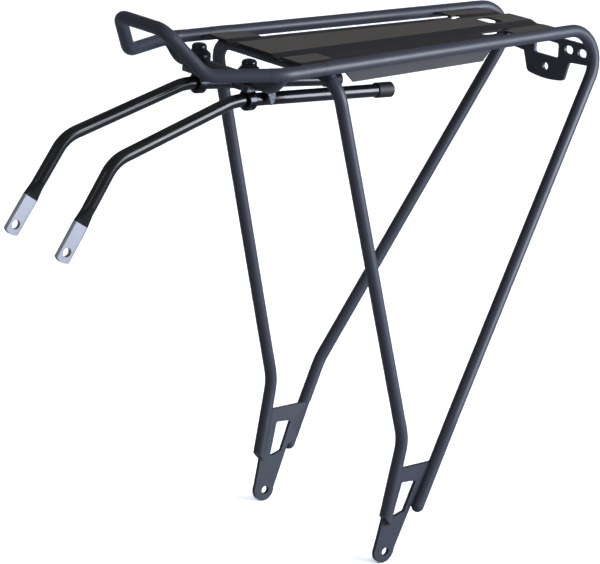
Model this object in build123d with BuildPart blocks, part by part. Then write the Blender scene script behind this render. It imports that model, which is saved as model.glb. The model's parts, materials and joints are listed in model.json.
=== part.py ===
from build123d import *
import math
import os

os.makedirs("parts", exist_ok=True)

# Bicycle rear carrier with adjustable stays.  Millimetres.
# X runs from the saddle (minus) to the tail light (plus), Y to the rider's right, Z up.
# The origin is midway between the two lower eyelets that bolt to the bicycle's dropouts.

# ---- tube and sheet stock
tube_d = 9.5                # frame tube, 3/8 inch stock
tube_wall = 1.5
weld_gap = 0.05             # root gap left between pieces that are welded together
plate_t = 3.0               # dropout plates
bracket_t = 2.5             # tail light bracket
sheet_t = 1.5               # pressed platform

# ---- main tube: rear legs, rails and the raised front stop, bent from one length
rail_z = 374.7              # height of the rail centre line over the eyelets
rail_front_x = -106.2       # where each rail turns in toward the front stop
rail_front_y = 69.4         # half spacing of the rails there
rail_rear_x = 222.1         # where rail and rear leg would meet without the bend
rail_rear_y = 49.0          # the rails close in toward the tail light
rear_bend_r = 25.0
leg_kink_x = 55.2           # rear leg leans back more above the dropout plate
leg_kink_z = 97.2
leg_kink_out = 1.5          # kink outside the plate's mid plane
leg_kink_r = 60.0
leg_end_x = 26.6            # centre of the domed lower end
leg_end_z = 32.2
leg_end_out = 3.3
leg_cut_under = 3.4         # flat ground under the domed end
leg_cut_lean = 24.0         # degrees that it rises toward the rear
stop_run = 51.0             # rail turn to the lower corner of the front stop
stop_low_y = 47.0
stop_lean = 22.0            # the stop leans forward by this much, and inward
stop_top_y = 27.0
stop_rise = 30.5
rail_turn_r = 30.0
stop_low_r = 15.0
stop_top_r = 14.0

# ---- front leg hoop
hoop_x = -63.0
hoop_drop = 5.9             # its cross tube runs this far under the rail centre lines
hoop_spread = 5.54          # its legs pass this far outside the rails
hoop_corner_r = 20.7
hoop_knee_x = 7.9           # knee above the dropout plate
hoop_knee_z = 88.8
hoop_knee_out = 1.6         # knee outside the plate's mid plane
hoop_knee_r = 40.0
hoop_end_x = -5.9
hoop_end_z = 17.0
hoop_end_out = 2.5
hoop_plug = 24.0            # each lower end is closed up to this height
hoop_cut_rise = 10.0        # middle of the slanted cut over the end
hoop_cut_lean = 50.0        # degrees that the cut falls toward the rear

# ---- dropout plates
plate_foot_y = 74.8         # mid plane of each plate, at the eyelet
plate_flare = 2.6           # degrees that each plate leans outward
eyelet_d = 6.5
foot_r = 9.3                # rounded lower end about the eyelet
foot_at = (-1.2, 0.8)
plate_front_over = 1.0      # front edge passes this far ahead of the hoop's end
plate_rear_behind = 2.6     # rear lobe reaches this far behind the leg's centre line
lobe_over = 4.8             # lobe's lower corner over the middle of the leg's end
lobe_step = (9.3, 3.0)      # the lobe stands out from the rear edge by this run and rise
lobe_r = 3.0
plate_top_z = 65.3
window = ((11.0, 54.1), (24.8, 53.0), (15.4, 29.6), (4.3, 26.7))
window_r = 1.2

# ---- clamp bar under the rails
bar_ahead = 0.5             # ahead of the rail turn
bar_drop = 11.9             # under the rail centre lines
bar_end_in = 1.2            # the bar's ends stop inside the coped joint with the rail
bar_end_drop = 0.9
bar_end_run = 12.0          # the bar's ends rise over this run
bar_corner_r = 16.0

# ---- stay clamps
clamp_ahead = 1.2           # bolt axis ahead of the bar's centre line
clamp_y = 30.0
eye_wall = 2.85
eye_w = 7.0
eye_edge_r = 1.0
bolt_d = 6.0
bolt_hole_d = 6.6
bolt_end = 1.4              # bolt above the washer, inside the nut
stay_run = 0.05             # radial running clearance of the stay in the eye
swivel_run = 0.05           # radial running clearance of the bolt in its washer
slip = 0.35                 # gap between the turning eye and the saddle block
saddle_l = 16.0
saddle_floor = 1.0          # wall between eye and bar
saddle_lip = 0.8            # its lips reach this close under the bar's centre line
saddle_bevel = 1.2
fin_t = 1.5
fin_l = 7.0
fin_gap = 3.2               # side gap between fin and stay
fin_low = 3.8               # fin's tip under the stay's centre line
washer_d = 17.0
washer_skirt = 2.6          # washer's rim over the bar's centre line
washer_crown = 6.45         # washer's top over the bar's top
washer_bevel = 3.4
washer_bevel_h = 3.06
nut_d = 11.0
nut_h = 4.2
nut_round_r = 2.6
socket_af = 4.0
socket_depth = 1.8

# ---- stays; points are (x, z) measured from the eye
stay_d = 9.5
stay_rear_slope = 3.9       # degrees down toward the tail light
stay_pitch = {"left": -1.0, "right": 1.0}
stay_rear_l = 127.0         # eye to the end of the rod
stay_bend_at = 12.5         # bend corner, ahead of the eye
stay_bend_r = 40.0
stay_fall_at = (-112.8, -28.3)      # corner where the stay turns down to the seat stay
stay_fall_r = 26.0
stay_hole_at = (-152.0, -86.3)
lug_w = 12.8
lug_t = 3.6
lug_edge_r = 1.6
lug_l = 21.6                # paint edge to the hole
lug_end = 7.8               # hole to the end of the lug
lug_end_r = 9.6
lug_hole_d = 6.6
lug_taper = 13.0            # length over which the rod is flattened
cap_d = 11.4
cap_l = 15.0
cap_depth = 12.0
cap_bevel = 0.8
cap_fit = 0.02

# ---- platform, pressed from one sheet; each pair is a front and a rear value
deck_ahead = 19.2               # front edge ahead of the leg hoop
deck_setback = 49.3             # rear edge ahead of the rear bend
tab_l = (31.0, 44.0)            # length of the stretches that carry side tabs
land_rise = (3.3, 2.3)          # raised land along the middle, over the rail centre line
land_half = (21.0, 12.5)
groove_fall = 7.0               # run of the slope from land to groove
tab_climb = (6.0, 8.0)          # run of the slope from groove to side tab
tab_inset = (13.9, 11.7)        # level part of the tab ends this far inside the rail
tab_rise = (3.0, 1.1)
fold_inset = 21.0               # the waist folds down this far inside the rail centre line
fold_drop = 0.7
skirt_drop = 19.1
skirt_inset = (20.0, 16.0)      # the skirt is this much shorter than the waist at each end
skirt_bevel = 7.0
rear_slot = (32.0, 14.0, 22.0)  # distance from the rear edge, length and width of the hole
rear_slot_r = 5.0
side_slot = (6.0, 26.0, 7.0)    # distance from the waist's end, length and width
deck_lip = 0.05
cut_reach = 10.0                # cutters run this far past the sheet

# ---- tail light bracket
bracket_ahead = 5.35            # its middle ahead of the rear leg's centre line
bracket_top_drop = 14.9         # heights are measured down from the rail centre line
arm_tip_drop = 30.0
arm_root_drop = 32.0
lobe_drop = 47.4
lobe_half = 25.6
lobe_half_low = 20.5
lobe_sag = 2.0
bracket_corner_r = 4.0
bracket_window = (27.0, 11.6, 25.3)     # width, height and drop of its centre
window_corner_r = 2.0
lamp_row_drop = 22.2
lamp_pitches = (50.0, 80.0)             # the two usual tail light hole pairs
lamp_slot = (9.6, 6.6)
lamp_centre_drop = 39.9
lamp_centre_d = 6.2

# ---- places that follow from the sizes above
tube_r = tube_d / 2
bore_r = tube_r - tube_wall
flare = math.tan(math.radians(plate_flare))
stop_low_x = rail_front_x - stop_run
hoop_z = rail_z - hoop_drop
bar_x = rail_front_x - bar_ahead
bar_z = rail_z - bar_drop
clamp_x = bar_x - clamp_ahead
eye_outer_r = stay_d / 2 + eye_wall
saddle_low_z = bar_z - tube_r - saddle_floor
eye_z = saddle_low_z - slip - eye_outer_r           # centre of the stay inside the eye
saddle_w = 2 * (stay_d / 2 + fin_gap + fin_t)       # wide enough to carry the fin
washer_low_z = bar_z + washer_skirt
washer_top_z = bar_z + tube_r + washer_crown
stay_fall = (clamp_x + stay_fall_at[0], eye_z + stay_fall_at[1])
stay_hole = (clamp_x + stay_hole_at[0], eye_z + stay_hole_at[1])
groove_z = hoop_z + tube_r + deck_lip + sheet_t     # the groove rests on the leg hoop
deck_x = (hoop_x - deck_ahead, rail_rear_x - deck_setback)
waist_x = (deck_x[0] + tab_l[0], deck_x[1] - tab_l[1])
skirt_x = (waist_x[0] + skirt_inset[0], waist_x[1] - skirt_inset[1])
fold_z = rail_z - fold_drop
skirt_z = rail_z - skirt_drop
lamp_row_z = rail_z - lamp_row_drop
leg_slope = (rail_rear_x - leg_kink_x) / (rail_z - leg_kink_z)
bracket_x = rail_rear_x - lamp_row_drop * leg_slope - bracket_ahead
sides = {"left": -1, "right": 1}


def rail_y(x):
    """Half spacing of the rail centre lines at station x."""
    share = (x - rail_front_x) / (rail_rear_x - rail_front_x)
    return rail_front_y + share * (rail_rear_y - rail_front_y)


def plate_y(z):
    """Half spacing of the dropout plates' mid planes at height z."""
    return plate_foot_y + z * flare


def plate_plane(sign):
    """Mid plane of a dropout plate: x rearward, y up and outward, normal toward the left."""
    return Plane(origin=(0, sign * plate_foot_y, 0), x_dir=(1, 0, 0), z_dir=(0, -1, sign * flare))


def across(points):
    """Points of one side followed by their mirror images, as one run from side to side."""
    return points + [(x, -y, z) for x, y, z in reversed(points)]


main_side = [
    (leg_end_x, plate_y(leg_end_z) + leg_end_out, leg_end_z),
    (leg_kink_x, plate_y(leg_kink_z) + leg_kink_out, leg_kink_z),
    (rail_rear_x, rail_rear_y, rail_z),
    (rail_front_x, rail_front_y, rail_z),
    (stop_low_x, stop_low_y, rail_z),
    (stop_low_x - stop_lean, stop_top_y, rail_z + stop_rise),
]
main_radii = [leg_kink_r, rear_bend_r, rail_turn_r, stop_low_r, stop_top_r]
hoop_side = [
    (hoop_end_x, plate_y(hoop_end_z) + hoop_end_out, hoop_end_z),
    (hoop_knee_x, plate_y(hoop_knee_z) + hoop_knee_out, hoop_knee_z),
    (hoop_x, rail_y(hoop_x) + hoop_spread, hoop_z),
]
bar_side = [
    (bar_x, rail_front_y - bar_end_in, rail_z - bar_end_drop),
    (bar_x, rail_front_y - bar_end_in - bar_end_run, bar_z),
]


def bent(points, radii):
    """Centre line through the points, each inner corner rounded to its radius."""
    corners = [Vector(*p) for p in points]
    pieces = []
    last = corners[0]
    for corner, after, radius in zip(corners[1:-1], corners[2:], radii):
        back = (last - corner).normalized()
        ahead = (after - corner).normalized()
        half = math.radians(back.get_angle(ahead)) / 2
        reach = radius / math.tan(half)
        start = corner + back * reach
        end = corner + ahead * reach
        middle = corner + (back + ahead).normalized() * (radius / math.sin(half) - radius)
        pieces.append(Line(last, start))
        pieces.append(ThreePointArc(start, middle, end))
        last = end
    pieces.append(Line(last, corners[-1]))
    return Wire([piece.edge() for piece in pieces])


main_path = bent(across(main_side), main_radii + main_radii[::-1])
hoop_path = bent(across(hoop_side), [hoop_knee_r, hoop_corner_r, hoop_corner_r, hoop_knee_r])
bar_path = bent(across(bar_side), [bar_corner_r, bar_corner_r])

# ---- dropout plates: leaning sheet with window, eyelet and a lobe under the rear leg
leg_run = (leg_kink_x - leg_end_x) / (leg_kink_z - leg_end_z)
lobe_z = leg_end_z + lobe_over
hoop_run = (hoop_knee_x - hoop_end_x) / (hoop_knee_z - hoop_end_z)


def lobe_edge(z):
    """Rear edge of the plate's lobe at height z, just behind the leg's centre line."""
    return leg_end_x + (z - leg_end_z) * leg_run + plate_rear_behind


plate_outline = [
    (foot_at[0] - foot_r, foot_at[1]),
    (hoop_end_x - plate_front_over, hoop_end_z),
    (hoop_end_x + (plate_top_z - hoop_end_z) * hoop_run, plate_top_z),
    (lobe_edge(plate_top_z), plate_top_z),
    (lobe_edge(lobe_z), lobe_z),
    (lobe_edge(lobe_z) - lobe_step[0], lobe_z - lobe_step[1]),
    (foot_at[0] + foot_r, foot_at[1]),
]


def dropout_shape(grow):
    """Outline of a dropout plate, enlarged by grow."""
    with BuildSketch(mode=Mode.PRIVATE) as body:
        Polygon(*plate_outline, align=None)
        lobe_corner = body.vertices().group_by(Axis.Y)[-2].sort_by(Axis.X)[-1]
        fillet(lobe_corner, lobe_r)
    add(body.sketch)
    with Locations(foot_at):
        Circle(foot_r)
    if grow:
        offset(amount=grow)


for side, sign in sides.items():
    with BuildPart() as dropout_plate:
        with BuildSketch(plate_plane(sign)):
            dropout_shape(0)
            with BuildSketch(mode=Mode.PRIVATE) as opening:
                Polygon(*window, align=None)
                fillet(opening.vertices(), window_r)
            add(opening.sketch, mode=Mode.SUBTRACT)
        extrude(amount=plate_t / 2, both=True)
        with BuildSketch(Plane.XZ.offset(-sign * plate_foot_y)):
            Circle(eyelet_d / 2)
        extrude(amount=plate_t, both=True, mode=Mode.SUBTRACT)
    dropout_plate.part.label = "dropout_plate_" + side
    export_step(dropout_plate.part, "parts/dropout_plate_" + side + ".step")



def below_line(x, z, fall):
    """Area under a line through (x, z) that falls toward the rear by that many degrees."""
    with Locations(Location((x, z), -fall)):
        Rectangle(4 * tube_d, 2 * tube_d, align=(Align.CENTER, Align.MAX))


# ---- one bent tube: rear legs, rails and front stop; domed ends lie flat on the plates
with BuildPart() as main_tube:
    with BuildSketch(Plane(origin=main_path @ 0, z_dir=main_path % 0)):
        Circle(tube_r)
        Circle(bore_r, mode=Mode.SUBTRACT)
    sweep(path=main_path, transition=Transition.ROUND)
    with Locations(main_path @ 0, main_path @ 1):
        Sphere(tube_r)
    for sign in sides.values():
        outer_face = plate_t / 2 + weld_gap
        with BuildSketch(plate_plane(sign).offset(-sign * outer_face)):
            dropout_shape(weld_gap)
            with Locations((leg_kink_x, leg_end_z)):
                Rectangle(leg_kink_x - leg_end_x + tube_d, 2 * (plate_top_z - leg_end_z))
        extrude(amount=sign * tube_d, mode=Mode.SUBTRACT)
    with BuildSketch(Plane.XZ):
        below_line(leg_end_x, leg_end_z - leg_cut_under, -leg_cut_lean)
    extrude(amount=2 * plate_foot_y, both=True, mode=Mode.SUBTRACT)
main_tube.part.label = "main_tube"
export_step(main_tube.part, "parts/main_tube.step")

# space the main tube takes up, with the weld root gap about it; other pieces are coped to it
with BuildPart() as main_envelope:
    with BuildSketch(Plane(origin=main_path @ 0, z_dir=main_path % 0)):
        Circle(tube_r + weld_gap)
    sweep(path=main_path, transition=Transition.ROUND)

# ---- front leg hoop, coped to the rails; its lower ends are closed and slotted over the plates
with BuildPart() as leg_hoop:
    for end, inward in ((0, 1), (1, -1)):
        with BuildSketch(Plane(origin=hoop_path @ end, z_dir=(hoop_path % end) * inward)):
            Circle(bore_r)
        extrude(amount=hoop_plug)
    with BuildSketch(Plane(origin=hoop_path @ 0, z_dir=hoop_path % 0)):
        Circle(tube_r)
        Circle(bore_r, mode=Mode.SUBTRACT)
    sweep(path=hoop_path, transition=Transition.ROUND)
    add(main_envelope.part, mode=Mode.SUBTRACT)
    for sign in sides.values():
        with BuildSketch(plate_plane(sign)):
            dropout_shape(weld_gap)
        extrude(amount=plate_t / 2 + weld_gap, both=True, mode=Mode.SUBTRACT)
    with BuildSketch(Plane.XZ):
        below_line(hoop_end_x + hoop_cut_rise * hoop_run, hoop_end_z + hoop_cut_rise, hoop_cut_lean)
    extrude(amount=2 * plate_foot_y, both=True, mode=Mode.SUBTRACT)
leg_hoop.part.label = "leg_hoop"
export_step(leg_hoop.part, "parts/leg_hoop.step")

# ---- clamp bar: shallow U under the rails, ends coped to the rails, drilled for the bolts
with BuildPart() as clamp_bar:
    with BuildSketch(Plane(origin=bar_path @ 0, z_dir=bar_path % 0)):
        Circle(tube_r)
        Circle(bore_r, mode=Mode.SUBTRACT)
    sweep(path=bar_path, transition=Transition.ROUND)
    add(main_envelope.part, mode=Mode.SUBTRACT)
    with BuildSketch(Plane.XY.offset(bar_z)):
        with Locations((clamp_x, clamp_y), (clamp_x, -clamp_y)):
            Circle(bolt_hole_d / 2)
    extrude(amount=tube_d, both=True, mode=Mode.SUBTRACT)
clamp_bar.part.label = "clamp_bar"
export_step(clamp_bar.part, "parts/clamp_bar.step")

# ---- pressed platform: raised land, grooves, side tabs to the rails and a folded waist


def between(pair, x):
    """Value at station x of a size given at the front and the rear edge of the deck."""
    share = (x - deck_x[0]) / (deck_x[1] - deck_x[0])
    return pair[0] + share * (pair[1] - pair[0])


def tab_start(x):
    """Where the side tab's level part begins at station x."""
    return between(land_half, x) + groove_fall + between(tab_climb, x)


def tab_z(x):
    """Height of the side tab's top at station x."""
    return rail_z + between(tab_rise, x)


def deck_section(x, tabbed):
    """Closed section of the sheet at station x, reaching the rails where it is tabbed."""
    half = between(land_half, x)
    side = [
        (half, rail_z + between(land_rise, x)),
        (half + groove_fall, groove_z),
    ]
    if tabbed:
        rim = rail_y(x) - tube_r - weld_gap
        side.append((tab_start(x), tab_z(x)))
        side.append((rail_y(x) - between(tab_inset, x), tab_z(x)))
        side.append((rim, rail_z))
    else:
        side.append((rail_y(x) - fold_inset, fold_z))
    top = [(-y, z) for y, z in reversed(side)] + side
    under = [(y, z - sheet_t) for y, z in reversed(top)]
    Polygon(*top, *under, align=None)


def fold_plane(sign):
    """Plane of the folded skirt's outer face: x along the fold, y up, normal toward the left."""
    start = Vector(skirt_x[0], sign * (rail_y(skirt_x[0]) - fold_inset), 0)
    end = Vector(skirt_x[1], sign * (rail_y(skirt_x[1]) - fold_inset), 0)
    along = (end - start).normalized()
    return Plane(origin=start, x_dir=along, z_dir=along.cross(Vector(0, 0, 1)))


stations = [deck_x[0], waist_x[0], waist_x[1], deck_x[1]]
with BuildPart() as platform:
    for start, end, tabbed in zip(stations, stations[1:], (True, False, True)):
        with BuildSketch(Plane.YZ.offset(start)):
            deck_section(start, tabbed)
        with BuildSketch(Plane.YZ.offset(end)):
            deck_section(end, tabbed)
        loft(ruled=True)
    for station, toward in ((waist_x[0], -sheet_t), (waist_x[1], sheet_t)):
        with BuildSketch(Plane.YZ.offset(station)):
            for sign in sides.values():
                inner = sign * (between(land_half, station) + groove_fall)
                outer = sign * (rail_y(station) - fold_inset)
                Polygon(
                    (inner, groove_z - sheet_t),
                    (sign * tab_start(station), tab_z(station)),
                    (outer, tab_z(station)),
                    (outer, fold_z - sheet_t),
                    align=None,
                )
        extrude(amount=toward)
    for sign in sides.values():
        length = skirt_x[1] - skirt_x[0]
        with BuildSketch(fold_plane(sign)) as skirt:
            Polygon(
                (0, fold_z - sheet_t / 2),
                (0, skirt_z + skirt_bevel),
                (skirt_bevel, skirt_z),
                (length - skirt_bevel, skirt_z),
                (length, skirt_z + skirt_bevel),
                (length, fold_z - sheet_t / 2),
                align=None,
            )
        extrude(amount=sign * sheet_t)
    with BuildSketch(Plane.XY.offset(rail_z)):
        with Locations((deck_x[1] - rear_slot[0], 0)):
            RectangleRounded(rear_slot[1], rear_slot[2], rear_slot_r)
        for sign in sides.values():
            station = waist_x[1] - side_slot[0]
            middle = rail_y(station) - fold_inset - side_slot[2]
            with Locations((station, sign * middle)):
                SlotOverall(side_slot[1], side_slot[2])
    extrude(amount=cut_reach, both=True, mode=Mode.SUBTRACT)
platform.part.label = "platform"
export_step(platform.part, "parts/platform.step")

# ---- tail light bracket across the rear bends, coped to them
with BuildPart() as tail_light_bracket:
    with BuildSketch(Plane.YZ.offset(bracket_x - bracket_t / 2)) as face:
        with BuildLine():
            arm = rail_rear_y + tube_r
            low = rail_z - lobe_drop
            left = [
                (-arm, rail_z - bracket_top_drop),
                (-arm, rail_z - arm_tip_drop),
                (-lobe_half, rail_z - arm_root_drop),
                (-lobe_half_low, low),
            ]
            right = [(-y, z) for y, z in reversed(left)]
            Polyline(*left)
            ThreePointArc(left[-1], (0, low - lobe_sag), right[0])
            Polyline(*right)
            Line(right[-1], left[0])
        make_face()
        fillet(face.vertices().group_by(Axis.Y)[0], bracket_corner_r)
        with Locations((0, rail_z - bracket_window[2])):
            width, height = bracket_window[:2]
            RectangleRounded(width, height, window_corner_r, mode=Mode.SUBTRACT)
        for pitch in lamp_pitches:
            with Locations((-pitch / 2, lamp_row_z), (pitch / 2, lamp_row_z)):
                SlotOverall(lamp_slot[0], lamp_slot[1], mode=Mode.SUBTRACT)
        with Locations((0, rail_z - lamp_centre_drop)):
            Circle(lamp_centre_d / 2, mode=Mode.SUBTRACT)
    extrude(amount=bracket_t)
    add(main_envelope.part, mode=Mode.SUBTRACT)
tail_light_bracket.part.label = "tail_light_bracket"
export_step(tail_light_bracket.part, "parts/tail_light_bracket.step")

# ---- stays: a rod through the eye, bent down to a flattened lug


def turned(point, side):
    """Point (x, z) turned about the eye by the side's pitch, front end up when positive."""
    angle = math.radians(stay_pitch[side])
    dx = point[0] - clamp_x
    dz = point[1] - eye_z
    x = clamp_x + dx * math.cos(angle) + dz * math.sin(angle)
    z = eye_z - dx * math.sin(angle) + dz * math.cos(angle)
    return (x, sides[side] * clamp_y, z)


def along_rear(reach):
    """Point (x, z) on the stay's rear run, reach behind the eye (negative: ahead)."""
    slope = math.radians(stay_rear_slope)
    return (clamp_x + reach * math.cos(slope), eye_z - reach * math.sin(slope))


fall_run = math.hypot(stay_hole[0] - stay_fall[0], stay_hole[1] - stay_fall[1])
fall_x = (stay_hole[0] - stay_fall[0]) / fall_run
fall_z = (stay_hole[1] - stay_fall[1]) / fall_run


def along_fall(reach):
    """Point (x, z) on the stay's falling run, reach beyond the lug's hole."""
    return (stay_hole[0] + reach * fall_x, stay_hole[1] + reach * fall_z)


for side, sign in sides.items():
    rod_end = Vector(*turned(along_rear(stay_rear_l), side))
    bend = Vector(*turned(along_rear(-stay_bend_at), side))
    fall = Vector(*turned(stay_fall, side))
    hole = Vector(*turned(stay_hole, side))
    eye = Vector(*turned((clamp_x, eye_z), side))
    rear_run = (rod_end - eye).normalized()
    down_run = (hole - fall).normalized()
    flat_start = hole - down_run * lug_l
    flat_plane = Plane(origin=flat_start, x_dir=(0, 1, 0), z_dir=down_run)
    rod_path = bent([rod_end, bend, fall, flat_start - down_run * lug_taper],
                    [stay_bend_r, stay_fall_r])

    with BuildPart() as stay:
        with BuildSketch(Plane(origin=rod_end, z_dir=-rear_run)):
            Circle(stay_d / 2)
        sweep(path=rod_path, transition=Transition.ROUND)
        with BuildSketch(flat_plane.offset(-lug_taper)):
            Circle(stay_d / 2)
        with BuildSketch(flat_plane):
            RectangleRounded(lug_t, lug_w, lug_edge_r)
        loft()
        with BuildSketch(flat_plane):
            RectangleRounded(lug_t, lug_w, lug_edge_r)
        extrude(amount=lug_l + lug_end)
        with BuildSketch(Plane(origin=hole, x_dir=down_run, z_dir=(0, 1, 0))):
            Circle(lug_hole_d / 2)
        extrude(amount=lug_t, both=True, mode=Mode.SUBTRACT)
        with BuildSketch(Plane(origin=hole, x_dir=down_run, z_dir=(0, 1, 0))):
            with Locations((lug_end / 2, 0)):
                Rectangle(lug_end + lug_edge_r, lug_w + lug_edge_r)
            with Locations((lug_end - lug_end_r, 0)):
                Circle(lug_end_r, mode=Mode.SUBTRACT)
        extrude(amount=lug_t, both=True, mode=Mode.SUBTRACT)
    stay.part.label = "stay_" + side
    export_step(stay.part, "parts/stay_" + side + ".step")

    # rubber cap pressed on the rear end of the rod
    with BuildPart() as stay_cap:
        with BuildSketch(Plane(origin=rod_end - rear_run * cap_depth, z_dir=rear_run)):
            Circle(cap_d / 2)
        extrude(amount=cap_l)
        chamfer(stay_cap.edges().filter_by(GeomType.CIRCLE), cap_bevel)
        with BuildSketch(Plane(origin=rod_end + rear_run * weld_gap, z_dir=-rear_run)):
            Circle(stay_d / 2 + cap_fit)
        extrude(amount=cap_depth + cap_bevel, mode=Mode.SUBTRACT)
    stay_cap.part.label = "stay_cap_" + side
    export_step(stay_cap.part, "parts/stay_cap_" + side + ".step")

    # eye bolt: ring about the stay, shank up through saddle block, bar and washer
    with BuildPart() as eye_bolt:
        with BuildSketch(Plane(origin=eye, z_dir=rear_run)):
            Circle(eye_outer_r)
        extrude(amount=eye_w / 2, both=True)
        fillet(eye_bolt.edges().filter_by(GeomType.CIRCLE), eye_edge_r)
        with BuildSketch(Plane.XY.offset(eye_z)):
            with Locations((clamp_x, sign * clamp_y)):
                Circle(bolt_d / 2)
        extrude(amount=washer_top_z + bolt_end - eye_z)
        with BuildSketch(Plane(origin=eye, z_dir=rear_run)):
            Circle(stay_d / 2 + stay_run)
        extrude(amount=eye_w, both=True, mode=Mode.SUBTRACT)
    eye_bolt.part.label = "eye_bolt_" + side
    export_step(eye_bolt.part, "parts/eye_bolt_" + side + ".step")

    # saddle block cradling the bar from below, with a fin beside the stay
    with BuildPart() as saddle_block:
        with BuildSketch(Plane.XY.offset(saddle_low_z)):
            with Locations((clamp_x, sign * clamp_y)):
                Rectangle(saddle_l, saddle_w)
                Circle(bolt_d / 2 + swivel_run, mode=Mode.SUBTRACT)
        extrude(amount=bar_z - saddle_lip - saddle_low_z)
        chamfer(saddle_block.edges().group_by(Axis.Z)[-1].filter_by(Axis.Y), saddle_bevel)
        fin_y = sign * (clamp_y + stay_d / 2 + fin_gap + fin_t / 2)
        fin_x = clamp_x + saddle_l / 2 + fin_l / 2 - fin_t
        fin_top = saddle_low_z + fin_t
        fin_tip = eye_z - fin_low
        with BuildSketch(Plane.XZ.offset(-fin_y)):
            Polygon(
                (fin_x - fin_l, saddle_low_z),
                (fin_x - fin_l, fin_top),
                (fin_x + fin_l, fin_top),
                (fin_x + fin_l, fin_tip + fin_l / 2),
                (fin_x + fin_l / 2, fin_tip),
                (fin_x, saddle_low_z - fin_t),
                align=None,
            )
        extrude(amount=fin_t / 2, both=True)
        with BuildSketch(Plane.XZ):
            with Locations((bar_x, bar_z)):
                Circle(tube_r + weld_gap)
        extrude(amount=clamp_y * 2, both=True, mode=Mode.SUBTRACT)
    saddle_block.part.label = "saddle_block_" + side
    export_step(saddle_block.part, "parts/saddle_block_" + side + ".step")

    # bevelled washer hugging the bar from above
    with BuildPart() as saddle_washer:
        with BuildSketch(Plane.XY.offset(washer_low_z)):
            with Locations((clamp_x, sign * clamp_y)):
                Circle(washer_d / 2)
        extrude(amount=washer_top_z - washer_low_z)
        chamfer(saddle_washer.edges().group_by(Axis.Z)[-1], washer_bevel, washer_bevel_h)
        with BuildSketch(Plane.XY.offset(washer_low_z)):
            with Locations((clamp_x, sign * clamp_y)):
                Circle(bolt_d / 2 + swivel_run)
        extrude(amount=washer_d, mode=Mode.SUBTRACT)
        with BuildSketch(Plane.XZ):
            with Locations((bar_x, bar_z)):
                Circle(tube_r + weld_gap)
        extrude(amount=clamp_y * 2, both=True, mode=Mode.SUBTRACT)
    saddle_washer.part.label = "saddle_washer_" + side
    export_step(saddle_washer.part, "parts/saddle_washer_" + side + ".step")

    # domed nut with a hexagon socket
    with BuildPart() as dome_nut:
        nut_low = washer_top_z + weld_gap
        with BuildSketch(Plane.XY.offset(nut_low)):
            with Locations((clamp_x, sign * clamp_y)):
                Circle(nut_d / 2)
        extrude(amount=nut_h)
        fillet(dome_nut.edges().group_by(Axis.Z)[-1], nut_round_r)
        with BuildSketch(Plane.XY.offset(nut_low + nut_h)):
            with Locations((clamp_x, sign * clamp_y)):
                RegularPolygon(socket_af / 2, 6, major_radius=False)
        extrude(amount=-socket_depth, mode=Mode.SUBTRACT)
        with BuildSketch(Plane.XY.offset(nut_low)):
            with Locations((clamp_x, sign * clamp_y)):
                Circle(bolt_d / 2 + cap_fit)
        extrude(amount=bolt_end, mode=Mode.SUBTRACT)
    dome_nut.part.label = "dome_nut_" + side
    export_step(dome_nut.part, "parts/dome_nut_" + side + ".step")
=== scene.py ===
"""Looks of a tubular bicycle rear carrier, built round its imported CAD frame."""

import json
import logging
import math
from dataclasses import dataclass
from enum import Enum

import bmesh
import bpy
from mathutils import Matrix, Vector
from mathutils.bvhtree import BVHTree


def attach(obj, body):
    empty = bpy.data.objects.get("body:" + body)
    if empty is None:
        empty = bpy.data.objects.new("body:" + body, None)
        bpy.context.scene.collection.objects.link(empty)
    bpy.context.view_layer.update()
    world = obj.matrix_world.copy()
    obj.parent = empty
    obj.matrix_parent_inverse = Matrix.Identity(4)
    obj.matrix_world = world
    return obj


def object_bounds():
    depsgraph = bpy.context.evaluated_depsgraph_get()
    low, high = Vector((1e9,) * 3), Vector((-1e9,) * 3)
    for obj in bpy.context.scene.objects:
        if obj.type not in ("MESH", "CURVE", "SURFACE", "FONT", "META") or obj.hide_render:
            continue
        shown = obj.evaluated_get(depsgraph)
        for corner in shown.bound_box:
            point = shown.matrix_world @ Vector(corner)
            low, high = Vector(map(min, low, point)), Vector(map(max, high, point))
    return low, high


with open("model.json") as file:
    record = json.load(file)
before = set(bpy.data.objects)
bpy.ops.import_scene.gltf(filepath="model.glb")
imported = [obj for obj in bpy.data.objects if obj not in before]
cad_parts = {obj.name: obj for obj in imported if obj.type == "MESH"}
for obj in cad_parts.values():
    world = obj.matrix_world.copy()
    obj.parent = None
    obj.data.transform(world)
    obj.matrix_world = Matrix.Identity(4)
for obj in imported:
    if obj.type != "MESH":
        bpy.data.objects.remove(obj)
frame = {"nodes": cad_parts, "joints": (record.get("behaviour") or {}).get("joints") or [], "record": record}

LOG = logging.getLogger("carrier")
MM = 0.001                  # one millimetre in metres
SAME_PLACE_MM = 0.002       # corners nearer than this are one corner
CAD_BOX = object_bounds()


class Side(Enum):
    """Rider's side of a mirrored piece; the value is the sign of Y."""

    LEFT = -1
    RIGHT = 1

    @property
    def word(self) -> str:
        """The side's name as the CAD nodes use it."""
        return self.name.lower()


class Body(Enum):
    """Bodies that added pieces ride on."""

    FRAME = "frame"


class Slot(Enum):
    """Material slots of the record."""

    FRAME_PAINT = "frame_paint"


# ---------------------------------------------------------------- colour and nodes


def linear(code: str) -> tuple[float, float, float, float]:
    """Turns an sRGB hex colour into a linear one.

    Args:
        code: Colour as "#rrggbb".

    Returns:
        Linear red, green, blue and an alpha of 1.
    """
    parts = [int(code[i:i + 2], 16) / 255 for i in (1, 3, 5)]
    red, green, blue = (p / 12.92 if p <= 0.04045 else ((p + 0.055) / 1.055) ** 2.4 for p in parts)
    return red, green, blue, 1.0


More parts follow.
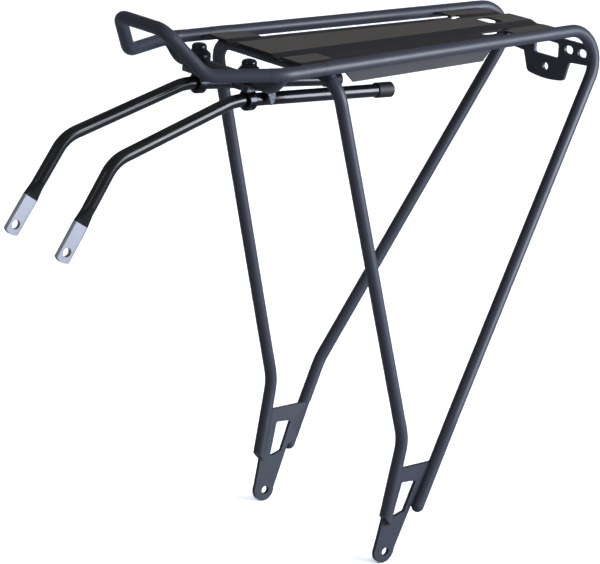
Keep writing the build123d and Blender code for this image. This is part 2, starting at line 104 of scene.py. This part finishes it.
def add_node(
    tree: bpy.types.NodeTree,
    kind: str,
    inputs: dict[str | int, object] | None = None,
    **settings: object,
) -> bpy.types.Node:
    """Adds one node with its settings, socket values and links.

    Args:
        tree: Node tree that takes the node.
        kind: Blender's name of the node type.
        inputs: Socket values by name or number; an output socket makes a link.
        **settings: Properties of the node itself.

    Returns:
        The new node.
    """
    made = tree.nodes.new(kind)
    for key, value in settings.items():
        setattr(made, key, value)
    for key, value in (inputs or {}).items():
        if isinstance(value, bpy.types.NodeSocket):
            tree.links.new(value, made.inputs[key])
        else:
            made.inputs[key].default_value = value
    return made


def blank_material(name: str) -> tuple[bpy.types.Material, bpy.types.NodeTree]:
    """Makes a material with an empty node tree.

    Args:
        name: Name of the material.

    Returns:
        The material and its tree.
    """
    material = bpy.data.materials.new(name)
    material.use_nodes = True
    material.node_tree.nodes.clear()
    return material, material.node_tree


def object_place(tree: bpy.types.NodeTree) -> bpy.types.NodeSocket:
    """Place on the piece at rest, in metres, so that patterns keep their real size."""
    return add_node(tree, "ShaderNodeTexCoord").outputs["Object"]


def spread(
    tree: bpy.types.NodeTree,
    factor: bpy.types.NodeSocket,
    low: float,
    high: float,
    span: tuple[float, float] = (0.0, 1.0),
) -> bpy.types.NodeSocket:
    """Maps a pattern's value to a range.

    Args:
        tree: Node tree that takes the node.
        factor: Pattern's value.
        low: Result at the start of the span.
        high: Result at the end of the span.
        span: Pattern values at which the result starts and ends.

    Returns:
        The mapped value.
    """
    inputs = {"Value": factor, "From Min": span[0], "From Max": span[1], "To Min": low, "To Max": high}
    return add_node(tree, "ShaderNodeMapRange", inputs).outputs["Result"]


def blend_colours(
    tree: bpy.types.NodeTree,
    factor: bpy.types.NodeSocket,
    first: object,
    second: object,
) -> bpy.types.NodeSocket:
    """Mixes two colours by a factor.

    Args:
        tree: Node tree that takes the node.
        factor: Share of the second colour.
        first: Colour or socket at factor 0.
        second: Colour or socket at factor 1.

    Returns:
        The mixed colour.
    """
    made = add_node(tree, "ShaderNodeMix", {0: factor}, data_type="RGBA")
    for index, value in ((6, first), (7, second)):
        if isinstance(value, bpy.types.NodeSocket):
            tree.links.new(value, made.inputs[index])
        else:
            made.inputs[index].default_value = value
    return made.outputs[2]


# ---------------------------------------------------------------- finishes


@dataclass(frozen=True)
class PowderCoat:
    """Satin powder coat on aluminium: baked polyester powder with a faint pebbled skin.

    It gives a soft wide highlight and an even, slightly blue anthracite with no sparkle.
    """

    name: str = "powder_coated_aluminium"
    base: str = "#3d414d"
    shade: str = "#343844"
    roughness: tuple[float, float] = (0.38, 0.48)
    ior: float = 1.5
    pebble_mm: float = 1.4      # real pebbles are about 0.5 mm; drawn coarser so that they show
    pebble_height_mm: float = 0.02
    cloud_mm: float = 45.0      # slow drift of film thickness along the tubes
    level: str | None = None    # painted highlight: lighter tone on faces that lie level, in place of the light they reflect
    level_from: tuple[float, float] = (0.985, 0.999)
    level_over_mm: float = 375.6    # only the lands and tabs above this height carry it

    def material(self) -> bpy.types.Material:
        """Builds the coat's material."""
        material, tree = blank_material(self.name)
        place = object_place(tree)
        cloud = add_node(tree, "ShaderNodeTexNoise",
                         {"Vector": place, "Scale": 1 / (self.cloud_mm * MM), "Detail": 3.0})
        pebble = add_node(tree, "ShaderNodeTexNoise",
                          {"Vector": place, "Scale": 1 / (self.pebble_mm * MM), "Detail": 2.0})
        colour = blend_colours(tree, cloud.outputs["Fac"], linear(self.base), linear(self.shade))
        # painted highlight and shade: level faces above the given height take the lighter tone, standing for
        # reflected light; tilted faces keep the darker coat as painted shade
        if self.level:
            turned = add_node(tree, "ShaderNodeSeparateXYZ",
                              {"Vector": add_node(tree, "ShaderNodeNewGeometry").outputs["Normal"]})
            flat = spread(tree, turned.outputs["Z"], 0.0, 1.0, span=self.level_from)
            height = add_node(tree, "ShaderNodeSeparateXYZ", {"Vector": place}).outputs["Z"]
            low = self.level_over_mm * MM
            raised = spread(tree, height, 0.0, 1.0, span=(low, low + 0.2 * MM))
            both = add_node(tree, "ShaderNodeMath", {0: flat, 1: raised}, operation="MULTIPLY")
            colour = blend_colours(tree, both.outputs["Value"], colour, linear(self.level))
        rough = spread(tree, cloud.outputs["Fac"], *self.roughness, span=(0.3, 0.7))
        bump = add_node(tree, "ShaderNodeBump", {
            "Height": pebble.outputs["Fac"], "Strength": 0.6, "Distance": self.pebble_height_mm * MM})
        shader = add_node(tree, "ShaderNodeBsdfPrincipled", {
            "Base Color": colour, "Roughness": rough, "IOR": self.ior, "Normal": bump.outputs["Normal"]})
        add_node(tree, "ShaderNodeOutputMaterial", {"Surface": shader.outputs["BSDF"]})
        return material


@dataclass(frozen=True)
class StovedRod:
    """Stays' finish: black stoving enamel over bright rod, with the lug left bare below a straight edge.

    The enamel is smooth and wet looking, so that it carries a narrow bright highlight; the
    bare lug shows the fine lengthwise scratches of a belt-finished aluminium flat.
    """

    name: str
    edge: Vector                # point on the straight edge of the paint
    along: Vector               # unit vector from the rod toward the lug's tip
    paint: str = "#14161b"
    paint_rough: float = 0.2
    metal: str = "#b2b6be"
    metal_dull: str = "#8f939c"
    metal_rough: float = 0.34
    ior: float = 1.52
    scratch_mm: float = 0.5     # spacing of the belt's scratches, drawn coarser so that they show
    scratch_length_mm: float = 14.0
    scratch_height_mm: float = 0.02
    fade_mm: float = 0.25       # the paint's edge is masked, so it is crisp
    cloud_mm: float = 16.7      # slow change of gloss along the enamel

    def material(self) -> bpy.types.Material:
        """Builds the two-part material."""
        material, tree = blank_material(self.name)
        place = object_place(tree)
        offset = add_node(tree, "ShaderNodeVectorMath", {0: place, 1: self.edge}, operation="SUBTRACT")
        reach = add_node(tree, "ShaderNodeVectorMath",
                         {0: offset.outputs["Vector"], 1: self.along}, operation="DOT_PRODUCT")
        bare = spread(tree, reach.outputs["Value"], 0.0, 1.0, span=(0.0, self.fade_mm * MM))
        across = Vector((0, 1, 0)).cross(self.along)
        turn = Matrix((self.along / (self.scratch_length_mm * MM),
                       across / (self.scratch_mm * MM),
                       Vector((0, 1, 0)) / (self.scratch_mm * MM)))
        rows = [add_node(tree, "ShaderNodeVectorMath", {0: place, 1: row}, operation="DOT_PRODUCT")
                for row in turn]
        stretched = add_node(tree, "ShaderNodeCombineXYZ",
                             {i: row.outputs["Value"] for i, row in enumerate(rows)})
        scratch = add_node(tree, "ShaderNodeTexNoise",
                           {"Vector": stretched.outputs["Vector"], "Scale": 1.0, "Detail": 3.0})
        cloud = add_node(tree, "ShaderNodeTexNoise",
                         {"Vector": place, "Scale": 1 / (self.cloud_mm * MM), "Detail": 2.0})
        metal_colour = blend_colours(tree, scratch.outputs["Fac"],
                                     linear(self.metal), linear(self.metal_dull))
        metal_rough = spread(tree, scratch.outputs["Fac"], self.metal_rough - 0.06, self.metal_rough + 0.1,
                             span=(0.3, 0.7))
        bump = add_node(tree, "ShaderNodeBump", {
            "Height": scratch.outputs["Fac"], "Strength": 0.5, "Distance": self.scratch_height_mm * MM})
        paint_rough = spread(tree, cloud.outputs["Fac"], self.paint_rough - 0.03, self.paint_rough + 0.05,
                             span=(0.3, 0.7))
        paint = add_node(tree, "ShaderNodeBsdfPrincipled", {
            "Base Color": linear(self.paint), "Roughness": paint_rough, "IOR": self.ior})
        metal = add_node(tree, "ShaderNodeBsdfPrincipled", {
            "Base Color": metal_colour, "Roughness": metal_rough, "Metallic": 1.0,
            "Normal": bump.outputs["Normal"]})
        both = add_node(tree, "ShaderNodeMixShader", {
            0: bare, 1: paint.outputs["BSDF"], 2: metal.outputs["BSDF"]})
        add_node(tree, "ShaderNodeOutputMaterial", {"Surface": both.outputs["Shader"]})
        return material


@dataclass(frozen=True)
class PlatedSteel:
    """Steel fasteners in black zinc plate: a thin dark film, rubbed bright in patches.

    The film stays mirror-like, so that the chamfers throw small hard glints.
    """

    name: str = "black_zinc_plated_steel"
    film: str = "#3a3b40"
    rubbed: str = "#d0d2d6"
    roughness: tuple[float, float] = (0.12, 0.3)
    patch_mm: float = 3.0
    rub_from: float = 0.66      # noise value above which the film is rubbed through

    def material(self) -> bpy.types.Material:
        """Builds the plated material."""
        material, tree = blank_material(self.name)
        place = object_place(tree)
        patch = add_node(tree, "ShaderNodeTexNoise", {
            "Vector": place, "Scale": 1 / (self.patch_mm * MM), "Detail": 4.0, "Roughness": 0.6})
        rub = spread(tree, patch.outputs["Fac"], 0.0, 1.0, span=(self.rub_from, self.rub_from + 0.08))
        colour = blend_colours(tree, rub, linear(self.film), linear(self.rubbed))
        rough = spread(tree, patch.outputs["Fac"], *self.roughness, span=(0.3, 0.7))
        shader = add_node(tree, "ShaderNodeBsdfPrincipled", {
            "Base Color": colour, "Roughness": rough, "Metallic": 1.0})
        add_node(tree, "ShaderNodeOutputMaterial", {"Surface": shader.outputs["BSDF"]})
        return material


@dataclass(frozen=True)
class SpangledZinc:
    """Zinc plate on the folded clamp blocks: dull grey with the mottled spangle of its crystals."""

    name: str = "spangled_zinc_plate"
    light: str = "#71747c"
    dark: str = "#3f4249"
    roughness: tuple[float, float] = (0.28, 0.5)
    spangle_mm: float = 1.3

    def material(self) -> bpy.types.Material:
        """Builds the zinc material."""
        material, tree = blank_material(self.name)
        place = object_place(tree)
        spangle = add_node(tree, "ShaderNodeTexVoronoi",
                           {"Vector": place, "Scale": 1 / (self.spangle_mm * MM)})
        tone = add_node(tree, "ShaderNodeSeparateColor", {"Color": spangle.outputs["Color"]})
        colour = blend_colours(tree, tone.outputs["Red"], linear(self.light), linear(self.dark))
        rough = spread(tree, tone.outputs["Green"], *self.roughness)
        shader = add_node(tree, "ShaderNodeBsdfPrincipled", {
            "Base Color": colour, "Roughness": rough, "Metallic": 1.0})
        add_node(tree, "ShaderNodeOutputMaterial", {"Surface": shader.outputs["BSDF"]})
        return material


@dataclass(frozen=True)
class MouldedRubber:
    """Moulded rubber end caps: matt black with a faint grain and a wide dull sheen."""

    name: str = "moulded_rubber"
    base: str = "#17181b"
    roughness: float = 0.55
    ior: float = 1.52
    grain_mm: float = 0.9       # mould grain, drawn coarser so that it shows
    grain_height_mm: float = 0.03

    def material(self) -> bpy.types.Material:
        """Builds the rubber material."""
        material, tree = blank_material(self.name)
        place = object_place(tree)
        grain = add_node(tree, "ShaderNodeTexNoise", {
            "Vector": place, "Scale": 1 / (self.grain_mm * MM), "Detail": 2.0})
        bump = add_node(tree, "ShaderNodeBump", {
            "Height": grain.outputs["Fac"], "Strength": 0.5, "Distance": self.grain_height_mm * MM})
        rough = spread(tree, grain.outputs["Fac"], self.roughness - 0.05, self.roughness + 0.08,
                       span=(0.3, 0.7))
        shader = add_node(tree, "ShaderNodeBsdfPrincipled", {
            "Base Color": linear(self.base), "Roughness": rough, "IOR": self.ior,
            "Normal": bump.outputs["Normal"]})
        add_node(tree, "ShaderNodeOutputMaterial", {"Surface": shader.outputs["BSDF"]})
        return material


# ---------------------------------------------------------------- dressing CAD nodes


def dress(node: str, material: bpy.types.Material, edge_mm: float = 0.0) -> bpy.types.Object:
    """Gives a CAD node its material and, where asked, broken edges.

    Args:
        node: Name of the CAD node.
        material: Material for the whole node.
        edge_mm: Width of the broken edges; 0 leaves them as cut.

    Returns:
        The node's object.
    """
    piece = frame["nodes"][node]
    piece.data.materials.clear()
    piece.data.materials.append(material)
    if edge_mm:
        weld = piece.modifiers.new("joined_corners", "WELD")
        weld.merge_threshold = SAME_PLACE_MM * MM
        bevel = piece.modifiers.new("broken_edges", "BEVEL")
        bevel.width = edge_mm * MM
        bevel.segments = 2
        bevel.limit_method = "ANGLE"
        bevel.angle_limit = math.radians(40)
    LOG.info("dressed %s in %s", node, material.name)
    return piece


# ---------------------------------------------------------------- welds


@dataclass(frozen=True)
class WeldFillet:
    """Smooth painted-over weld that fills the crook between pieces of the frame.

    The pieces are merged near the joint and relaxed until the crook fills out, and only
    the skin that stands proud of the pieces is kept.
    """

    name: str
    nodes: tuple[str, ...]
    centre: Vector
    reach_mm: float = 15.0
    grain_mm: float = 0.55      # size of the facets that are relaxed
    rounds: int = 34            # more rounds give a fuller fillet
    flush_mm: float = 0.07      # skin nearer than this to a piece is left off
    core: float = 0.86          # share of the reach in which skin is kept
    regain_mm: float = 0.28     # relaxing shrinks the tubes by about this much, but not flat sheet

    def merged(self) -> bpy.types.Object:
        """Joins the pieces, cropped to a ball round the joint.

        Returns:
            The joined piece with its modifiers.
        """
        shape = bmesh.new()
        for node in self.nodes:
            shape.from_mesh(frame["nodes"][node].data)
        bmesh.ops.remove_doubles(shape, verts=shape.verts, dist=SAME_PLACE_MM * MM)
        mesh = bpy.data.meshes.new(self.name + "_merged")
        shape.to_mesh(mesh)
        shape.free()
        ball = bmesh.new()
        bmesh.ops.create_icosphere(ball, subdivisions=3, radius=self.reach_mm * MM,
                                   matrix=Matrix.Translation(self.centre))
        ball_mesh = bpy.data.meshes.new(self.name + "_ball")
        ball.to_mesh(ball_mesh)
        ball.free()
        cutter = bpy.data.objects.new(self.name + "_ball", ball_mesh)
        joined = bpy.data.objects.new(self.name + "_merged", mesh)
        for piece in (cutter, joined):
            bpy.context.scene.collection.objects.link(piece)
        crop = joined.modifiers.new("crop", "BOOLEAN")
        crop.operation = "INTERSECT"
        crop.object = cutter
        remesh = joined.modifiers.new("remesh", "REMESH")
        remesh.mode = "VOXEL"
        remesh.voxel_size = self.grain_mm * MM
        relax = joined.modifiers.new("relax", "SMOOTH")
        relax.factor = 0.5
        relax.iterations = self.rounds
        swell = joined.modifiers.new("swell", "DISPLACE")
        swell.mid_level = 0.0
        swell.strength = self.regain_mm * MM
        return joined

    def proud(self, mesh: bpy.types.Mesh) -> None:
        """Keeps the faces that stand proud of the pieces.

        Args:
            mesh: Relaxed mesh, changed in place.
        """
        trees = []
        for node in self.nodes:
            data = frame["nodes"][node].data
            corners = [v.co for v in data.vertices]
            trees.append(BVHTree.FromPolygons(corners, [p.vertices for p in data.polygons]))
        shape = bmesh.new()
        shape.from_mesh(mesh)
        sunk = set()
        for vert in shape.verts:
            for tree in trees:
                spot, normal, _, gap = tree.find_nearest(vert.co)
                flush = (vert.co - spot).dot(normal) < 0 or gap < self.flush_mm * MM
                if flush or (vert.co - self.centre).length > self.reach_mm * self.core * MM:
                    sunk.add(vert)
        hidden = [f for f in shape.faces if all(v in sunk for v in f.verts)]
        bmesh.ops.delete(shape, geom=hidden, context="FACES")
        for face in shape.faces:
            face.smooth = True
        shape.to_mesh(mesh)
        shape.free()

    def build(self, coat: bpy.types.Material) -> bpy.types.Object:
        """Builds the fillet.

        Args:
            coat: Powder coat shared by the frame.

        Returns:
            The fillet, riding on the frame.
        """
        joined = self.merged()
        cutter = joined.modifiers["crop"].object
        graph = bpy.context.evaluated_depsgraph_get()
        mesh = bpy.data.meshes.new_from_object(joined.evaluated_get(graph))
        for piece in (joined, cutter):
            data = piece.data
            bpy.data.objects.remove(piece)
            bpy.data.meshes.remove(data)
        self.proud(mesh)
        mesh.materials.append(coat)
        fillet = bpy.data.objects.new(self.name, mesh)
        bpy.context.scene.collection.objects.link(fillet)
        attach(fillet, Body.FRAME.value)
        LOG.info("built %s with %d faces", self.name, len(mesh.polygons))
        return fillet


# ---------------------------------------------------------------- sub-assemblies


@dataclass
class TubeFrame:
    """The bent tubes that are welded into the carrier's frame."""

    tubes: tuple[str, ...] = ("main_tube", "leg_hoop", "clamp_bar")
    bar_weld_mm: tuple[float, float, float] = (-106.7, 68.0, 374.0)
    hoop_weld_mm: tuple[float, float, float] = (-62.0, 65.0, 370.5)
    bracket_weld_mm: tuple[float, float, float] = (204.0, 48.0, 352.0)
    rear_leg_weld_mm: tuple[float, float, float] = (34.0, 78.0, 48.0)
    front_leg_weld_mm: tuple[float, float, float] = (1.0, 78.0, 45.0)
    round_regain_mm: float = 0.28       # welds between round tubes
    sheet_regain_mm: float = 0.02       # welds onto flat sheet

    def build(self, coat: bpy.types.Material) -> None:
        """Dresses the tubes and welds the frame's pieces together.

        Args:
            coat: Powder coat shared by the frame.
        """
        for name in self.tubes:
            dress(name, coat)
        for side in Side:
            self.weld(side, coat)

    def weld(self, side: Side, coat: bpy.types.Material) -> None:
        """Adds the fillets of one side.

        Args:
            side: Side of the frame.
            coat: Powder coat shared by the frame.
        """
        plate = "dropout_plate_" + side.word
        sites = (
            ("bar_weld_", ("main_tube", "clamp_bar"), self.bar_weld_mm, 13.0, self.round_regain_mm),
            ("hoop_weld_", ("main_tube", "leg_hoop"), self.hoop_weld_mm, 15.0, self.round_regain_mm),
            ("bracket_weld_", ("main_tube", "tail_light_bracket"), self.bracket_weld_mm, 16.0,
             self.sheet_regain_mm),
            ("rear_leg_weld_", ("main_tube", plate), self.rear_leg_weld_mm, 30.0, self.sheet_regain_mm),
            ("front_leg_weld_", ("leg_hoop", plate), self.front_leg_weld_mm, 30.0, self.sheet_regain_mm),
        )
        for name, nodes, spot, reach, regain in sites:
            centre = Vector((spot[0], spot[1] * side.value, spot[2])) * MM
            WeldFillet(name + side.word, nodes, centre, reach_mm=reach, regain_mm=regain).build(coat)


@dataclass
class FlatParts:
    """Sheet parts of the frame: dropout plates, tail light bracket and platform."""

    edge_mm: float = 0.35
    # painted shade: the sheet's coat is drawn darker than the tubes' coat, for the shade on its slopes and
    # skirt
    sheet_shaded_base: str = "#25262b"
    sheet_shade: str = "#1f2025"
    # painted highlight: lighter tone for the sheet's level top faces, in place of the light they reflect
    sheet_painted_highlight: str = "#5c5853"
    sheet_roughness: tuple[float, float] = (0.5, 0.58)

    def build(self, coat: bpy.types.Material) -> None:
        """Dresses the sheet parts.

        Args:
            coat: Powder coat shared by the frame.
        """
        for name in ("dropout_plate_left", "dropout_plate_right", "tail_light_bracket"):
            dress(name, coat, self.edge_mm)
        # the platform's coat carries painted shade on its slopes and a painted highlight on its level top
        # faces
        film = PowderCoat(name="powder_coated_pressed_sheet", base=self.sheet_shaded_base, shade=self.sheet_shade,
                          roughness=self.sheet_roughness, level=self.sheet_painted_highlight)
        dress("platform", film.material(), self.edge_mm)


@dataclass
class StayAssembly:
    """One adjustable stay with its cap and its clamp."""

    side: Side
    edge_mm: float = 0.3            # broken edges of the bolt, nut and washer
    block_edge_mm: float = 0.2
    lug_turn_deg: float = 59.85     # angle between the rod's rear run and its lug
    bare_mm: float = 21.6           # paint edge to the lug's hole

    def lug(self) -> tuple[Vector, Vector]:
        """Where the paint ends and which way the lug points.

        Returns:
            A point on the paint's edge and the unit vector toward the lug's tip.
        """
        word = self.side.word
        mount = next(m for m in frame["record"]["mounts"] if m["name"] == "stay_lug_" + word)
        joint = next(j for j in frame["joints"] if j["name"] == "stay_slide_" + word)
        down = Matrix.Rotation(-math.radians(self.lug_turn_deg), 3, "Y") @ Vector(joint["axis"])
        return Vector(mount["pos_m"]) - down * self.bare_mm * MM, down

    def build(self, plated: bpy.types.Material, zinc: bpy.types.Material, rubber: bpy.types.Material) -> None:
        """Dresses the stay, its cap and its clamp.

        Args:
            plated: Finish of the bolt, nut and washer.
            zinc: Finish of the folded block.
            rubber: Finish of the end cap.
        """
        word = self.side.word
        edge, down = self.lug()
        enamel = StovedRod(name="stoved_rod_" + word, edge=edge, along=down).material()
        dress("stay_" + word, enamel)
        dress("stay_cap_" + word, rubber)
        dress("saddle_block_" + word, zinc, self.block_edge_mm)
        for name in ("eye_bolt_", "saddle_washer_", "dome_nut_"):
            dress(name + word, plated, self.edge_mm)


# ---------------------------------------------------------------- studio


@dataclass(frozen=True)
class Lamp:
    """One softbox, placed by how far it lies behind, to the right of and above the carrier's middle.

    Behind and right are as the person at the camera sees them, with behind toward the camera.
    """

    name: str
    behind: float
    right: float
    above: float
    distance: float
    size: tuple[float, float]
    radiance: float


@dataclass
class Studio:
    """Pale floor, soft lights and the camera."""

    stand: tuple[float, float, float] = (-1.26151, -1.5607, 0.80052)
    azimuth_deg: float = -38.246
    elevation_deg: float = 16.928
    roll_deg: float = 2.320
    lens_mm: float = 168.1
    floor_half: float = 9.0
    floor_pale: str = "#fafafa"
    floor_dim: str = "#6f6f70"      # what the carrier sees of the floor, so that its undersides stay dark
    room_seen: float = 1.0
    surround: float = 0.2
    lamp_tone: str = "#eef4ff"      # daylight tubes, a little blue
    lamps: tuple[Lamp, ...] = (
        Lamp("side_softbox", behind=0.28, right=0.96, above=0.2, distance=2.5, size=(1.5, 1.8),
             radiance=12.5),
        Lamp("front_fill", behind=0.8, right=-0.6, above=0.5, distance=3.0, size=(1.2, 1.2), radiance=1.4),
    )
    wash: Lamp = Lamp("floor_wash", behind=0.0, right=0.0, above=1.0, distance=3.0, size=(9.0, 9.0),
                      radiance=1.5)

    def camera(self) -> bpy.types.Object:
        """Sets up the camera.

        Returns:
            The camera.
        """
        azimuth = math.radians(self.azimuth_deg)
        elevation = math.radians(self.elevation_deg)
        ahead = Vector((-math.sin(azimuth) * math.cos(elevation),
                        math.cos(azimuth) * math.cos(elevation),
                        -math.sin(elevation)))
        right = Vector((math.cos(azimuth), math.sin(azimuth), 0))
        level = Matrix((right, right.cross(ahead), -ahead)).transposed()
        data = bpy.data.cameras.new("camera")
        data.lens = self.lens_mm
        data.clip_end = 50
        camera = bpy.data.objects.new("camera", data)
        roll = Matrix.Rotation(math.radians(self.roll_deg), 3, "Z")
        camera.matrix_world = Matrix.Translation(self.stand) @ (level @ roll).to_4x4()
        bpy.context.scene.collection.objects.link(camera)
        bpy.context.scene.camera = camera
        return camera

    def softbox(self, lamp: Lamp) -> bpy.types.Object:
        """Adds a softbox that faces the carrier.

        Args:
            lamp: Where the softbox stands, its size in metres and the brightness of its face.

        Returns:
            The light.
        """
        azimuth = math.radians(self.azimuth_deg)
        behind = Vector((math.sin(azimuth), -math.cos(azimuth), 0))
        right = Vector((math.cos(azimuth), math.sin(azimuth), 0))
        toward = (behind * lamp.behind + right * lamp.right + Vector((0, 0, lamp.above))).normalized()
        data = bpy.data.lights.new(lamp.name, "AREA")
        data.shape = "RECTANGLE"
        data.size, data.size_y = lamp.size
        data.energy = lamp.radiance * math.pi * lamp.size[0] * lamp.size[1]
        data.color = linear(self.lamp_tone)[:3]
        light = bpy.data.objects.new(lamp.name, data)
        light.location = (CAD_BOX[0] + CAD_BOX[1]) / 2 + toward * lamp.distance
        light.rotation_mode = "QUATERNION"
        light.rotation_quaternion = toward.to_track_quat("Z", "Y")
        bpy.context.scene.collection.objects.link(light)
        return light

    def floor(self) -> bpy.types.Object:
        """Adds the pale floor, level with the carrier's lowest point.

        Returns:
            The floor.
        """
        mesh = bpy.data.meshes.new("floor")
        half = self.floor_half
        low = CAD_BOX[0].z
        corners = [(-half, -half, low), (half, -half, low), (half, half, low), (-half, half, low)]
        mesh.from_pydata(corners, [], [(0, 1, 2, 3)])
        floor = bpy.data.objects.new("floor", mesh)
        bpy.context.scene.collection.objects.link(floor)
        material, tree = blank_material("matt_paper_floor")
        path = add_node(tree, "ShaderNodeLightPath")
        colour = blend_colours(tree, path.outputs["Is Camera Ray"],
                               linear(self.floor_dim), linear(self.floor_pale))
        shader = add_node(tree, "ShaderNodeBsdfDiffuse", {"Color": colour})
        add_node(tree, "ShaderNodeOutputMaterial", {"Surface": shader.outputs["BSDF"]})
        mesh.materials.append(material)
        return floor

    def world(self) -> None:
        """Lights the room softly: pale to the eye, dimmer as a light."""
        world = bpy.data.worlds.new("studio")
        bpy.context.scene.world = world
        world.use_nodes = True
        tree = world.node_tree
        tree.nodes.clear()
        path = add_node(tree, "ShaderNodeLightPath")
        strength = spread(tree, path.outputs["Is Camera Ray"], self.surround, self.room_seen)
        back = add_node(tree, "ShaderNodeBackground", {"Color": linear("#ffffff"), "Strength": strength})
        add_node(tree, "ShaderNodeOutputWorld", {"Surface": back.outputs["Background"]})

    def build(self) -> None:
        """Builds the studio round the carrier."""
        bpy.context.scene.view_settings.view_transform = "Standard"
        self.camera()
        floor = self.floor()
        self.world()
        for lamp in self.lamps:
            self.softbox(lamp)
        wash = self.softbox(self.wash)
        only = bpy.data.collections.new("floor_only")
        only.objects.link(floor)
        wash.light_linking.receiver_collection = only


def main() -> None:
    """Builds the carrier's looks in order and reports each piece."""
    logging.basicConfig(level=logging.INFO, format="%(name)s: %(message)s")
    coat = PowderCoat().material()
    plated = PlatedSteel().material()
    zinc = SpangledZinc().material()
    rubber = MouldedRubber().material()
    TubeFrame().build(coat)
    FlatParts().build(coat)
    for side in Side:
        StayAssembly(side).build(plated, zinc, rubber)
    Studio().build()


if __name__ == "__main__":
    main()
